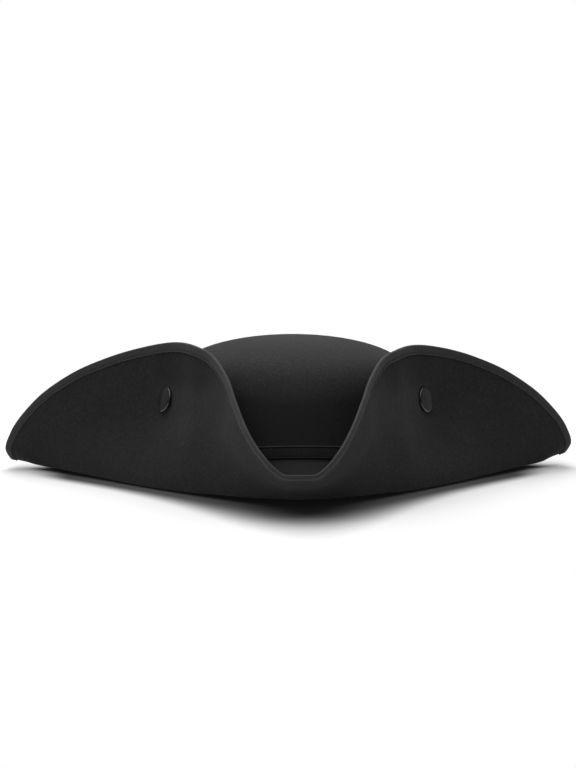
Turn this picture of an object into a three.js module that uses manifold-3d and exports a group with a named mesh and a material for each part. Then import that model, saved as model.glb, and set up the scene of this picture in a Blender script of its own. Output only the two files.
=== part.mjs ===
// A three-cornered felt hat: one blocked felt body, a ribbon band, a ribbon
// binding on the brim's edge and three domed fasteners that hold the flaps up.
//
// Millimetres, +Z up. The front corner points to -Y, and the hat rests on z = 0.
// The felt is one sheet. Its under side is worked out from the table of
// sections below, and the upper side lies one felt thickness away from it.

import * as THREE from 'three';
import Module from 'manifold-3d';

const wasm = await Module();
wasm.setup();
const { Manifold, Mesh } = wasm;

// Sizes of the felt
const FELT = 2.5;
const HEAD_HALF_WIDTH = 82.5;
const HEAD_HALF_LENGTH = 99.5;
const CROWN_HEIGHT = 99.4;
const DOME_RISE_SIDE = 25.5;
const DOME_RISE_END = 36;
const CROWN_TAPER = 3.5;
const BREAK_FRONT = 24.3;
const BREAK_SIDE = 13;
const BREAK_BACK = 15;
const HALF_SPAN = 205;
const REACH_PER_HEAD = 1.91;
const FRONT_REACH = REACH_PER_HEAD * HEAD_HALF_LENGTH;
const FLAP_HEIGHT = 96;
const REST_WIDTH = 5;

// Sizes of the ribbon
const GAP = 0.3;
const BAND_WIDTH = 7.4;
const BAND_THICKNESS = 0.9;
const BAND_LIFT = 3;
const BINDING_DEPTH = 6.3;
const BINDING_THICKNESS = 0.7;

// Sizes of the fasteners
const CAP_RADIUS = 8.8;
const CAP_RISE = 2.8;
const CAP_EDGE = 0.9;
const CAP_SEAT = 0.9;
const POST_RADIUS = 2;
const HOLE_CLEARANCE = 0.5;
const INNER_HEAD_RADIUS = 4;
const INNER_HEAD_THICKNESS = 1;
const INNER_HEAD_SLACK = 1.5;
const FASTENER_HEIGHT = 57.5;
const SIDE_FASTENER_TURN = 60;
const BACK_FASTENER_TURN = 180;

// How finely the surfaces are divided
const DIVISIONS_PER_SIDE = 43;
const DOME_RINGS = 7;
const CROWN_WALL_RINGS = 3;
const FALL_RINGS = 3;
const WALL_RINGS = 4;
const FLAP_RINGS = 4;
const CAP_SEGMENTS = 20;

// One row for each section of the brim, from the front corner round to the back.
// turn is the place on the head oval in degrees. The fold is the lowest line of
// the brim, and the edge is its rim. out, fore and lift are shares of HALF_SPAN,
// FRONT_REACH and FLAP_HEIGHT, and belly bows the flap outward, as a share of
// FLAP_HEIGHT. FRONT_REACH follows the head's length, so that the flaps keep
// their distance to the crown on a longer head.
const SECTION_COLUMNS = [
  'turn', 'foldOut', 'foldFore', 'foldLift', 'belly', 'edgeOut', 'edgeFore', 'edgeLift',
];
const SECTION_ROWS = [
  [0, 0.000, 0.689, 0.044, 0.040, 0.000, 1.000, 0.266],
  [3, 0.024, 0.687, 0.043, 0.040, 0.050, 0.997, 0.270],
  [6, 0.051, 0.679, 0.042, 0.045, 0.082, 0.979, 0.312],
  [11, 0.098, 0.653, 0.039, 0.045, 0.123, 0.932, 0.401],
  [18, 0.159, 0.605, 0.033, 0.040, 0.166, 0.842, 0.532],
  [26, 0.217, 0.545, 0.026, 0.030, 0.205, 0.711, 0.700],
  [33, 0.261, 0.492, 0.019, 0.020, 0.234, 0.587, 0.838],
  [39, 0.295, 0.450, 0.012, 0.012, 0.273, 0.463, 0.945],
  [47, 0.339, 0.395, 0.005, 0.002, 0.328, 0.337, 0.994],
  [56, 0.390, 0.332, 0.000, -0.022, 0.402, 0.168, 0.997],
  [65, 0.449, 0.261, 0.000, -0.042, 0.505, 0.010, 0.942],
  [75, 0.520, 0.171, 0.000, -0.020, 0.631, -0.095, 0.850],
  [85, 0.602, 0.063, 0.005, 0.010, 0.766, -0.166, 0.710],
  [94, 0.702, -0.058, 0.014, 0.025, 0.886, -0.221, 0.514],
  [102, 0.797, -0.172, 0.024, 0.020, 0.972, -0.252, 0.272],
  [106, 0.842, -0.220, 0.028, 0.010, 0.990, -0.270, 0.146],
  [109, 0.862, -0.252, 0.032, 0.000, 0.972, -0.296, 0.070],
  [112, 0.833, -0.286, 0.030, 0.010, 0.976, -0.321, 0.126],
  [116, 0.768, -0.338, 0.027, 0.020, 0.963, -0.352, 0.226],
  [122, 0.659, -0.416, 0.024, 0.025, 0.920, -0.389, 0.400],
  [130, 0.541, -0.489, 0.017, 0.015, 0.824, -0.434, 0.560],
  [140, 0.400, -0.547, 0.005, 0.000, 0.674, -0.476, 0.682],
  [152, 0.249, -0.582, 0.000, -0.010, 0.481, -0.516, 0.772],
  [166, 0.112, -0.595, 0.000, -0.015, 0.244, -0.545, 0.828],
  [180, 0.000, -0.597, 0.000, -0.020, 0.000, -0.555, 0.847],
];
const SECTIONS = SECTION_ROWS.map(
  (row) => Object.fromEntries(SECTION_COLUMNS.map((name, i) => [name, row[i]])),
);
const MIRRORED = new Set(['foldOut', 'edgeOut']);

// How steeply the felt leaves the crown, as a multiple of its mean fall
const STEEPNESS_RATIO = 1.6;
// Where the belly of the flap sits, as a share of the way from fold to edge
const BELLY_SHARE = 0.55;

const vector = (x, y, z) => new THREE.Vector3(x, y, z);
const radians = THREE.MathUtils.degToRad;

// A point on the smooth curve from a to b that leaves along ta and arrives along tb.
function hermite(a, ta, b, tb, q) {
  const q2 = q * q;
  const q3 = q2 * q;
  return a.clone().multiplyScalar(2 * q3 - 3 * q2 + 1)
    .addScaledVector(ta, q3 - 2 * q2 + q)
    .addScaledVector(b, 3 * q2 - 2 * q3)
    .addScaledVector(tb, q3 - q2);
}

// The value of one column of the section table at any turn from 0 to 360 degrees.
function column(name, turn) {
  const last = SECTIONS.length - 1;
  const span = SECTIONS[last].turn;
  const back = turn > span;
  const t = back ? 2 * span - turn : turn;
  const at = (i) => {
    const k = i < 0 ? -i : i > last ? 2 * last - i : i;
    const flip = k !== i;
    const value = SECTIONS[k][name];
    const where = i < 0 ? -SECTIONS[k].turn : i > last ? 2 * span - SECTIONS[k].turn
      : SECTIONS[k].turn;
    return { where, value: flip && MIRRORED.has(name) ? -value : value };
  };
  let row = 0;
  while (row < last - 1 && SECTIONS[row + 1].turn <= t) {
    row += 1;
  }
  const [p0, p1, p2, p3] = [at(row - 1), at(row), at(row + 1), at(row + 2)];
  const slope = (a, b, c) => {
    const before = (b.value - a.value) / (b.where - a.where);
    const after = (c.value - b.value) / (c.where - b.where);
    const share = (b.where - a.where) / (c.where - a.where);
    return before * (1 - share) + after * share;
  };
  const width = p2.where - p1.where;
  const q = (t - p1.where) / width;
  const value = (2 * q ** 3 - 3 * q ** 2 + 1) * p1.value
    + (q ** 3 - 2 * q ** 2 + q) * width * slope(p0, p1, p2)
    + (3 * q ** 2 - 2 * q ** 3) * p2.value
    + (q ** 3 - q ** 2) * width * slope(p1, p2, p3);
  return back && MIRRORED.has(name) ? -value : value;
}

// Height of the line where crown and brim meet, at a turn in degrees.
function breakHeight(turn) {
  const c = Math.cos(radians(turn));
  const end = c > 0 ? BREAK_FRONT : BREAK_BACK;
  return BREAK_SIDE + (end - BREAK_SIDE) * c * c;
}

const ovalPoint = (turn, inset, z) => vector(
  (HEAD_HALF_WIDTH - inset) * Math.sin(radians(turn)),
  -(HEAD_HALF_LENGTH - inset) * Math.cos(radians(turn)),
  z,
);

const foldPoint = (turn) => vector(
  column('foldOut', turn) * HALF_SPAN,
  -column('foldFore', turn) * FRONT_REACH,
  Math.max(0, column('foldLift', turn)) * FLAP_HEIGHT,
);

const edgePoint = (turn) => vector(
  column('edgeOut', turn) * HALF_SPAN,
  -column('edgeFore', turn) * FRONT_REACH,
  column('edgeLift', turn) * FLAP_HEIGHT,
);

// The brim's section at a turn: three smooth curves joined at the flat of the
// fold and at the belly of the flap.
function brimSection(turn) {
  const start = ovalPoint(turn, 0, breakHeight(turn));
  const fold = foldPoint(turn);
  const edge = edgePoint(turn);
  const along = vector(fold.x - start.x, fold.y - start.y, 0).normalize();
  const foldIn = fold.clone().addScaledVector(along, -REST_WIDTH / 2);
  const foldOut = fold.clone().addScaledVector(along, REST_WIDTH / 2);
  const step = 0.5;
  const tangent = foldPoint(turn + step).sub(foldPoint(turn - step)).setZ(0).normalize();
  const outward = vector(tangent.y, -tangent.x, 0);

  const reach = Math.hypot(foldIn.x - start.x, foldIn.y - start.y);
  const slope = STEEPNESS_RATIO * (start.z - foldIn.z) / reach;
  const fall = start.distanceTo(foldIn);
  const leave = along.clone().setZ(-slope).normalize();

  const belly = foldOut.clone().lerp(edge, BELLY_SHARE)
    .addScaledVector(outward, column('belly', turn) * FLAP_HEIGHT);
  const rise = foldOut.distanceTo(belly);
  const climb = belly.distanceTo(edge);
  const up = edge.clone().sub(foldOut).normalize();
  const finish = edge.clone().sub(belly).multiplyScalar(1.5).addScaledVector(up, -0.5 * climb);
  return {
    fall: (q) => hermite(
      start, leave.clone().multiplyScalar(fall), foldIn, along.clone().multiplyScalar(fall), q,
    ),
    wall: (q) => hermite(
      foldOut, along.clone().multiplyScalar(rise), belly, up.clone().multiplyScalar(rise), q,
    ),
    flap: (q) => hermite(belly, up.clone().multiplyScalar(climb), edge, finish, q),
    boundShare: 1 - BINDING_DEPTH / climb,
  };
}

// How far the dome rises over its shoulder: rounder at the front and the back.
function domeRise(turn) {
  const c = Math.cos(radians(turn));
  return DOME_RISE_SIDE + (DOME_RISE_END - DOME_RISE_SIDE) * c * c;
}

// Height of the under side where the crown's wall turns into the dome.
function shoulderHeight(turn) {
  return CROWN_HEIGHT - FELT - domeRise(turn);
}

// The crown's under side at a turn: q runs from the break up the wall.
function crownWall(turn, q) {
  const low = breakHeight(turn);
  return ovalPoint(turn, CROWN_TAPER * q, low + (shoulderHeight(turn) - low) * q);
}

// The dome's under side: q runs from the shoulder to the middle of the top.
function crownDome(turn, q) {
  const angle = q * Math.PI / 2;
  const rim = ovalPoint(turn, CROWN_TAPER, 0).multiplyScalar(Math.cos(angle));
  return rim.setZ(shoulderHeight(turn) + domeRise(turn) * Math.sin(angle));
}

// All points of the under side at one turn, from the dome down and out to the edge.
function sheetColumn(turn) {
  const brim = brimSection(turn);
  const points = [];
  for (let k = 1; k < DOME_RINGS; k += 1) {
    points.push(crownDome(turn, 1 - k / DOME_RINGS));
  }
  for (let k = 0; k < CROWN_WALL_RINGS; k += 1) {
    points.push(crownWall(turn, 1 - k / CROWN_WALL_RINGS));
  }
  for (let k = 0; k <= FALL_RINGS; k += 1) {
    points.push(brim.fall(k / FALL_RINGS));
  }
  for (let k = 0; k <= WALL_RINGS; k += 1) {
    points.push(brim.wall(k / WALL_RINGS));
  }
  for (let k = 1; k < FLAP_RINGS; k += 1) {
    points.push(brim.flap(brim.boundShare * k / (FLAP_RINGS - 1)));
  }
  points.push(brim.flap(1));
  return points;
}

// The side corner lies at the section whose fold reaches furthest out.
const CORNER_TURN = SECTIONS.reduce((a, b) => (b.foldOut > a.foldOut ? b : a)).turn;

// The turns that the surfaces are divided at: closer together at the corners.
function divisionTurns() {
  const half = [];
  for (let k = 0; k < DIVISIONS_PER_SIDE; k += 1) {
    half.push(halfTurnAt(k / DIVISIONS_PER_SIDE));
  }
  const other = half.slice(1).reverse().map((turn) => 360 - turn);
  return [...half, 180, ...other];
}

function halfTurnAt(share) {
  const density = (t) => 1 + 2.2 * Math.exp(-((t / 12) ** 2))
    + 2.2 * Math.exp(-(((t - CORNER_TURN) / 10) ** 2));
  const steps = 720;
  let total = 0;
  const sums = [0];
  for (let k = 0; k < steps; k += 1) {
    total += density(180 * (k + 0.5) / steps);
    sums.push(total);
  }
  const goal = share * total;
  let k = 0;
  while (sums[k + 1] < goal) {
    k += 1;
  }
  return 180 * (k + (goal - sums[k]) / (sums[k + 1] - sums[k])) / steps;
}

const TURNS = divisionTurns();
const UNDER = TURNS.map(sheetColumn);
const RINGS = UNDER[0].length;
const COUNT = TURNS.length;
const UNDER_TOP = vector(0, 0, CROWN_HEIGHT - FELT);

// Direction from the under side to the upper side at each point of the sheet.
function sheetNormals(grid) {
  return grid.map((points, i) => points.map((point, j) => {
    const before = grid[(i + COUNT - 1) % COUNT][j];
    const after = grid[(i + 1) % COUNT][j];
    const inner = j === 0 ? UNDER_TOP : points[j - 1];
    const outer = j === RINGS - 1 ? point : points[j + 1];
    const across = after.clone().sub(before);
    const out = outer.clone().sub(point).normalize()
      .add(point.clone().sub(inner).normalize());
    return across.cross(out).normalize().negate();
  }));
}

const NORMALS = sheetNormals(UNDER);
const sheetPoint = (i, j, height) => UNDER[i % COUNT][j].clone()
  .addScaledVector(NORMALS[i % COUNT][j], height);

// A triangle list that grows face by face.
class Shell {
  constructor() {
    this.positions = [];
    this.faces = [];
  }

  add(point) {
    this.positions.push(point.x, point.y, point.z);
    return this.positions.length / 3 - 1;
  }

  triangle(a, b, c) {
    this.faces.push(a, b, c);
  }

  quad(a, b, c, d) {
    this.triangle(a, b, c);
    this.triangle(a, c, d);
  }

  // Joins rows of points into a surface. Both directions can close on themselves.
  // crossed says which strips are split along their other diagonal.
  grid(rows, closeRows, closePoints, crossed = () => false) {
    const across = rows[0].length;
    const ids = rows.map((row) => row.map((point) => this.add(point)));
    const lastRow = closeRows ? rows.length : rows.length - 1;
    const lastPoint = closePoints ? across : across - 1;
    for (let i = 0; i < lastRow; i += 1) {
      const next = (i + 1) % rows.length;
      for (let j = 0; j < lastPoint; j += 1) {
        const right = (j + 1) % across;
        const corners = [ids[i][j], ids[next][j], ids[next][right], ids[i][right]];
        if (crossed(j)) {
          corners.push(corners.shift());
        }
        this.quad(...corners);
      }
    }
    return ids;
  }

  manifold() {
    const mesh = new Mesh({
      numProp: 3,
      vertProperties: new Float32Array(this.positions),
      triVerts: new Uint32Array(this.faces),
    });
    mesh.merge();
    return new Manifold(mesh);
  }
}

// Makes a named mesh from a solid, with the faces turned outward.
function meshOf(name, solid, material) {
  const mesh = solid.getMesh();
  const geometry = new THREE.BufferGeometry();
  geometry.setAttribute('position', new THREE.BufferAttribute(mesh.vertProperties, 3));
  geometry.setIndex(new THREE.BufferAttribute(mesh.triVerts, 1));
  const flat = geometry.toNonIndexed();
  flat.computeVertexNormals();
  const result = new THREE.Mesh(flat, material);
  result.name = name;
  return result;
}

// The felt: under side, upper side and the cut edge between them.
function feltSolid() {
  const shell = new Shell();
  const loops = TURNS.map((turn, i) => {
    const upper = UNDER[i].map((point, j) => sheetPoint(i, j, FELT));
    return [...UNDER[i], ...upper.reverse()];
  });
  const ids = shell.grid(loops, true, false);
  const underTop = shell.add(UNDER_TOP);
  const upperTop = shell.add(vector(0, 0, CROWN_HEIGHT));
  const last = loops[0].length - 1;
  for (let i = 0; i < COUNT; i += 1) {
    const next = (i + 1) % COUNT;
    shell.triangle(ids[i][0], underTop, ids[next][0]);
    shell.triangle(ids[i][last], ids[next][last], upperTop);
  }
  return shell.manifold();
}

// A ribbon with a closed cross-section that runs all round the hat.
function loopSolid(crossSection, crossed) {
  const shell = new Shell();
  shell.grid(TURNS.map((turn, i) => crossSection(i, turn)), true, true, crossed);
  return shell.manifold();
}

// The band stands on the crown wall, just above the break.
function bandSection(i, turn) {
  const oval = ovalPoint(turn, 0, 0);
  const outward = crownOutward(oval.x, oval.y);
  const low = breakHeight(turn) + BAND_LIFT;
  const place = (z, offset) => {
    const q = (z - breakHeight(turn)) / (shoulderHeight(turn) - breakHeight(turn));
    return crownWall(turn, q).addScaledVector(outward, offset);
  };
  const inside = FELT + GAP;
  const outside = inside + BAND_THICKNESS;
  return [
    place(low, inside),
    place(low, outside),
    place(low + BAND_WIDTH, outside),
    place(low + BAND_WIDTH, inside),
  ];
}

// The binding folds over the edge and lies on both sides of the felt. The last
// four points are its inner faces, which are split like the felt that they cover.
const BINDING_INNER_START = 4;
function bindingSection(i) {
  const rim = RINGS - 1;
  const beyond = UNDER[i][rim].clone().sub(UNDER[i][rim - 1]).normalize();
  const place = (j, height, over) => sheetPoint(i, j, height).addScaledVector(beyond, over);
  const thick = GAP + BINDING_THICKNESS;
  return [
    place(rim - 1, -thick, 0),
    place(rim, -thick, thick),
    place(rim, FELT + thick, thick),
    place(rim - 1, FELT + thick, 0),
    place(rim - 1, FELT + GAP, 0),
    place(rim, FELT + GAP, GAP),
    place(rim, -GAP, GAP),
    place(rim - 1, -GAP, 0),
  ];
}

// Level direction away from the crown at a place beside it.
const crownOutward = (x, y) => vector(
  x / HEAD_HALF_WIDTH ** 2, y / HEAD_HALF_LENGTH ** 2, 0,
).normalize();

// Where the fastener at a turn passes through the flap: the point on the flap's
// under side at the fastener's height, and the axis, which lies halfway between
// square to the flap and square to the crown.
function fastenerPlace(turn) {
  const sample = (t, q) => brimSection(t).flap(q);
  let low = -0.5;
  let high = 1;
  for (let k = 0; k < 40; k += 1) {
    const middle = (low + high) / 2;
    if (sample(turn, middle).z < FASTENER_HEIGHT) {
      low = middle;
    } else {
      high = middle;
    }
  }
  const step = 0.01;
  const centre = sample(turn, low);
  const upward = sample(turn, low + step).sub(sample(turn, low - step));
  const around = sample(turn + step, low).sub(sample(turn - step, low));
  const square = around.cross(upward).normalize();
  return { centre, axis: square.add(crownOutward(centre.x, centre.y)).normalize() };
}

// Distance from a point to the crown's inner face, going inward along the axis.
function depthToCrown(centre, axis) {
  const isInside = (depth) => {
    const p = centre.clone().addScaledVector(axis, -depth);
    const turn = THREE.MathUtils.radToDeg(
      Math.atan2(p.x / HEAD_HALF_WIDTH, -p.y / HEAD_HALF_LENGTH),
    );
    const low = breakHeight(turn);
    const inset = CROWN_TAPER * (p.z - low) / (shoulderHeight(turn) - low);
    return Math.hypot(
      p.x / (HEAD_HALF_WIDTH - inset), p.y / (HEAD_HALF_LENGTH - inset),
    ) < 1;
  };
  let depth = 0;
  const step = 0.05;
  while (!isInside(depth)) {
    depth += step;
  }
  return depth;
}

// A solid turned about an axis, from (radius, height) pairs.
function turnedSolid(profile, centre, axis, segments) {
  const shell = new Shell();
  const frame = new THREE.Quaternion().setFromUnitVectors(vector(0, 0, 1), axis);
  const place = (radius, height, angle) => vector(
    radius * Math.cos(angle), radius * Math.sin(angle), height,
  ).applyQuaternion(frame).add(centre);
  const ids = [];
  for (let k = 0; k < segments; k += 1) {
    const angle = 2 * Math.PI * k / segments;
    ids.push(profile.slice(1, -1).map(([r, h]) => shell.add(place(r, h, angle))));
  }
  const start = shell.add(place(0, profile[0][1], 0));
  const end = shell.add(place(0, profile[profile.length - 1][1], 0));
  const last = ids[0].length - 1;
  for (let k = 0; k < segments; k += 1) {
    const next = (k + 1) % segments;
    shell.triangle(start, ids[next][0], ids[k][0]);
    shell.triangle(end, ids[k][last], ids[next][last]);
    for (let j = 0; j < last; j += 1) {
      shell.quad(ids[k][j], ids[next][j], ids[next][j + 1], ids[k][j + 1]);
    }
  }
  return shell.manifold();
}

// The fastener: a head inside the crown, a post and a domed cap on the flap.
function fastenerSolid({ centre, axis }) {
  const depth = depthToCrown(centre, axis);
  const headTop = -depth - INNER_HEAD_SLACK;
  const dome = [0, 1, 2, 3].map((k) => {
    const angle = (k / 4) * Math.PI / 2;
    return [
      CAP_RADIUS * Math.cos(angle),
      CAP_SEAT + CAP_EDGE + (CAP_RISE - CAP_EDGE) * Math.sin(angle),
    ];
  });
  const profile = [
    [0, headTop - INNER_HEAD_THICKNESS],
    [INNER_HEAD_RADIUS, headTop - INNER_HEAD_THICKNESS],
    [INNER_HEAD_RADIUS, headTop],
    [POST_RADIUS, headTop],
    [POST_RADIUS, CAP_SEAT],
    [CAP_RADIUS, CAP_SEAT],
    ...dome,
    [0, CAP_SEAT + CAP_RISE],
  ];
  return turnedSolid(profile, centre, axis, CAP_SEGMENTS);
}

// What the fastener takes out of the felt: a hole for the post, and a shallow
// seat where the cap presses in.
function fastenerRoom({ centre, axis }) {
  const hole = POST_RADIUS + HOLE_CLEARANCE;
  const seat = CAP_RADIUS + GAP;
  const low = -depthToCrown(centre, axis) - 2 * FELT;
  const floor = CAP_SEAT - GAP;
  const high = 2 * FELT;
  const profile = [[0, low], [hole, low], [hole, floor], [seat, floor], [seat, high], [0, high]];
  return turnedSolid(profile, centre, axis, CAP_SEGMENTS);
}

const feltMaterial = new THREE.MeshStandardMaterial({
  name: 'felt', color: 0x1a1a1b, roughness: 0.95, metalness: 0,
});
const ribbonMaterial = new THREE.MeshStandardMaterial({
  name: 'ribbon', color: 0x161617, roughness: 0.7, metalness: 0,
});
const capMaterial = new THREE.MeshStandardMaterial({
  name: 'cap', color: 0x121213, roughness: 0.35, metalness: 0.2,
});

const places = {
  snap_right: fastenerPlace(SIDE_FASTENER_TURN),
  snap_left: fastenerPlace(360 - SIDE_FASTENER_TURN),
  snap_back: fastenerPlace(BACK_FASTENER_TURN),
};

const hat = new THREE.Group();
hat.name = 'tricorn_hat';
const rooms = Manifold.union(Object.values(places).map(fastenerRoom));
hat.add(meshOf('felt_body', feltSolid().subtract(rooms), feltMaterial));
hat.add(meshOf('hat_band', loopSolid(bandSection), ribbonMaterial));
const bindingSolid = loopSolid(bindingSection, (j) => j >= BINDING_INNER_START);
hat.add(meshOf('edge_binding', bindingSolid, ribbonMaterial));
for (const [name, place] of Object.entries(places)) {
  hat.add(meshOf(name, fastenerSolid(place), capMaterial));
}

// The frame's origin is the middle of the hat's box, on the floor.
const middle = new THREE.Box3().setFromObject(hat).getCenter(vector(0, 0, 0));
for (const piece of hat.children) {
  piece.position.set(-middle.x, -middle.y, 0);
}

export default hat;
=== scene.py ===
"""Dresses a black felt three-cornered hat for a plain studio picture.

The felt is one blocked sheet: a domed crown and a brim turned up in three
flaps. A ribbon binds the brim's edge, a second one stands round the crown, and
three domed fasteners hold the flaps up. Metres, +Z up, front corner to -Y.
"""

import logging
import math
from collections.abc import Callable, Sequence
from dataclasses import dataclass, field
from enum import Enum
from functools import lru_cache

import bmesh
import bpy
from mathutils import Matrix, Vector, noise


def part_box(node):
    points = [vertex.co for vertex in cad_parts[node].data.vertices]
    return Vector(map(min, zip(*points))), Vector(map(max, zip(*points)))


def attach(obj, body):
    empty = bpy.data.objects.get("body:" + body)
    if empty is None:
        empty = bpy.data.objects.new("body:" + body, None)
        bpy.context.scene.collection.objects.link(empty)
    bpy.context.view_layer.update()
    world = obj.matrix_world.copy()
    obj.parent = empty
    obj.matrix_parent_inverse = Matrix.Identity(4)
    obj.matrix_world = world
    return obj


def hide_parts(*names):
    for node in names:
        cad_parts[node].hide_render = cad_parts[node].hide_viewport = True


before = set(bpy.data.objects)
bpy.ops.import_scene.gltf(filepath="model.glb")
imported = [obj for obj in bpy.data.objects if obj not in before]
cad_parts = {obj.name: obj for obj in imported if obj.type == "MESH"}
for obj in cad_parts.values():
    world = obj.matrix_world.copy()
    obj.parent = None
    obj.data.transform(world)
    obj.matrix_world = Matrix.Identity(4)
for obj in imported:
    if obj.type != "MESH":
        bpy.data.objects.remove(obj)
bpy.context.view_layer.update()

LOG = logging.getLogger("tricorn")
MM = 0.001


def eased(share: float) -> float:
    """A smooth step from 0 at a share of 0 to 1 at a share of 1."""
    q = min(1.0, max(0.0, share))
    return q * q * (3 - 2 * q)


def bell(away: float, width: float) -> float:
    """1 where away is 0, and falling off to both sides over the width."""
    return math.exp(-((away / width) ** 2))


class Reading:
    """A node's output that takes part in Python sums."""

    def __init__(self, recipe: "Recipe", socket: bpy.types.NodeSocket) -> None:
        """Keeps the socket and the recipe whose tree it is in."""
        self.recipe = recipe
        self.socket = socket

    def _sum(self, operation: str, first: "Reading | float", second: "Reading | float") -> "Reading":
        """One Math node of two terms."""
        return self.recipe.make("ShaderNodeMath", {"operation": operation}, {0: first, 1: second})

    def __add__(self, other: "Reading | float") -> "Reading":
        """self + other."""
        return self._sum("ADD", self, other)

    __radd__ = __add__

    def __sub__(self, other: "Reading | float") -> "Reading":
        """self - other."""
        return self._sum("SUBTRACT", self, other)

    def __rsub__(self, other: float) -> "Reading":
        """other - self."""
        return self._sum("SUBTRACT", other, self)

    def __mul__(self, other: "Reading | float") -> "Reading":
        """self * other."""
        return self._sum("MULTIPLY", self, other)

    __rmul__ = __mul__

    def __truediv__(self, other: "Reading | float") -> "Reading":
        """self / other."""
        return self._sum("DIVIDE", self, other)

    def __rtruediv__(self, other: float) -> "Reading":
        """other / self."""
        return self._sum("DIVIDE", other, self)

    def __pow__(self, other: "Reading | float") -> "Reading":
        """self to the power of other."""
        return self._sum("POWER", self, other)

    def least(self, other: "Reading | float") -> "Reading":
        """The smaller of the two."""
        return self._sum("MINIMUM", self, other)

    def sine(self) -> "Reading":
        """The sine of an angle in radians."""
        return self._sum("SINE", self, 0.0)

    def bell(self, width: float) -> "Reading":
        """1 where it is 0, and falling away to both sides over the width."""
        return self._sum("POWER", math.e, self * self * (-1 / width**2))

    def between(self, low: float, high: float) -> "Reading":
        """A smooth step from 0 at low to 1 at high."""
        return self.recipe.make(
            "ShaderNodeMapRange", {"interpolation_type": "SMOOTHSTEP"},
            {"Value": self, "From Min": low, "From Max": high},
        )


class Recipe:
    """The node tree of one finish."""

    def __init__(self, name: str) -> None:
        """Starts an empty tree.

        Args:
            name: the material's name.
        """
        self.material = bpy.data.materials.new(name)
        self.material.use_nodes = True
        self.tree = self.material.node_tree
        self.tree.nodes.clear()

    def make(self, kind: str, settings: dict, sockets: dict, output: int | str = 0) -> Reading:
        """Adds one node.

        Args:
            kind: the node's type.
            settings: the node's own properties, set first.
            sockets: values or readings for its inputs.
            output: which output to hand back.

        Returns:
            The reading of that output.
        """
        node = self.tree.nodes.new(kind)
        for key, value in settings.items():
            setattr(node, key, value)
        for key, value in sockets.items():
            if isinstance(value, Reading):
                self.tree.links.new(value.socket, node.inputs[key])
            else:
                node.inputs[key].default_value = value
        return Reading(self, node.outputs[output])

    def place(self) -> Reading:
        """The point on the piece, in metres."""
        return self.make("ShaderNodeTexCoord", {}, {}, "Object")

    def along_and_across(self) -> tuple[Reading, Reading]:
        """The piece's own chart: metres along a ribbon, and its share across."""
        chart = self.make("ShaderNodeUVMap", {"uv_map": "chart"}, {})
        parts = self.make("ShaderNodeSeparateXYZ", {}, {0: chart})
        return parts, Reading(self, parts.socket.node.outputs[1])

    def painted(self, name: str) -> Reading:
        """A value that the mesh carries."""
        return self.make("ShaderNodeAttribute", {"attribute_name": name}, {}, "Fac")

    def stretched(
        self, place: Reading, turn: tuple[float, float, float], scale: tuple[float, float, float],
    ) -> Reading:
        """The same place, turned and stretched for a pattern that lies one way."""
        return self.make("ShaderNodeMapping", {}, {"Vector": place, "Rotation": turn, "Scale": scale})

    def mottle(self, place: Reading, size: float, detail: float = 2.0, twist: float = 0.0) -> Reading:
        """Soft random patches.

        Args:
            place: where on the piece.
            size: how large a patch is, in metres.
            detail: how many finer layers it has.
            twist: how much it swirls.

        Returns:
            A reading from 0 to 1.
        """
        return self.make(
            "ShaderNodeTexNoise", {},
            {"Vector": place, "Scale": 1 / size, "Detail": detail, "Roughness": 0.55, "Distortion": twist},
        )

    def blend(self, share: Reading | float, first: Reading | tuple, second: Reading | tuple) -> Reading:
        """A colour between two."""
        return self.make("ShaderNodeMix", {"data_type": "RGBA"}, {0: share, 6: first, 7: second}, 2)

    def relief(self, height: Reading) -> Reading:
        """The normal over a height in metres."""
        return self.make("ShaderNodeBump", {}, {"Strength": 1.0, "Distance": 1.0, "Height": height})

    def surface(self, sockets: dict) -> bpy.types.Material:
        """Ends the tree in one shader.

        Args:
            sockets: values or readings for the shader's inputs.

        Returns:
            The finished material.
        """
        shader = self.make("ShaderNodeBsdfPrincipled", {}, sockets)
        output = self.tree.nodes.new("ShaderNodeOutputMaterial")
        self.tree.links.new(shader.socket, output.inputs["Surface"])
        return self.material


def grey(value: float, warmth: float = 0.0) -> tuple[float, float, float, float]:
    """A linear grey, a little warmer above 0 and cooler below."""
    return (value * (1 + warmth), value, value * (1 - warmth), 1.0)


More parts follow.
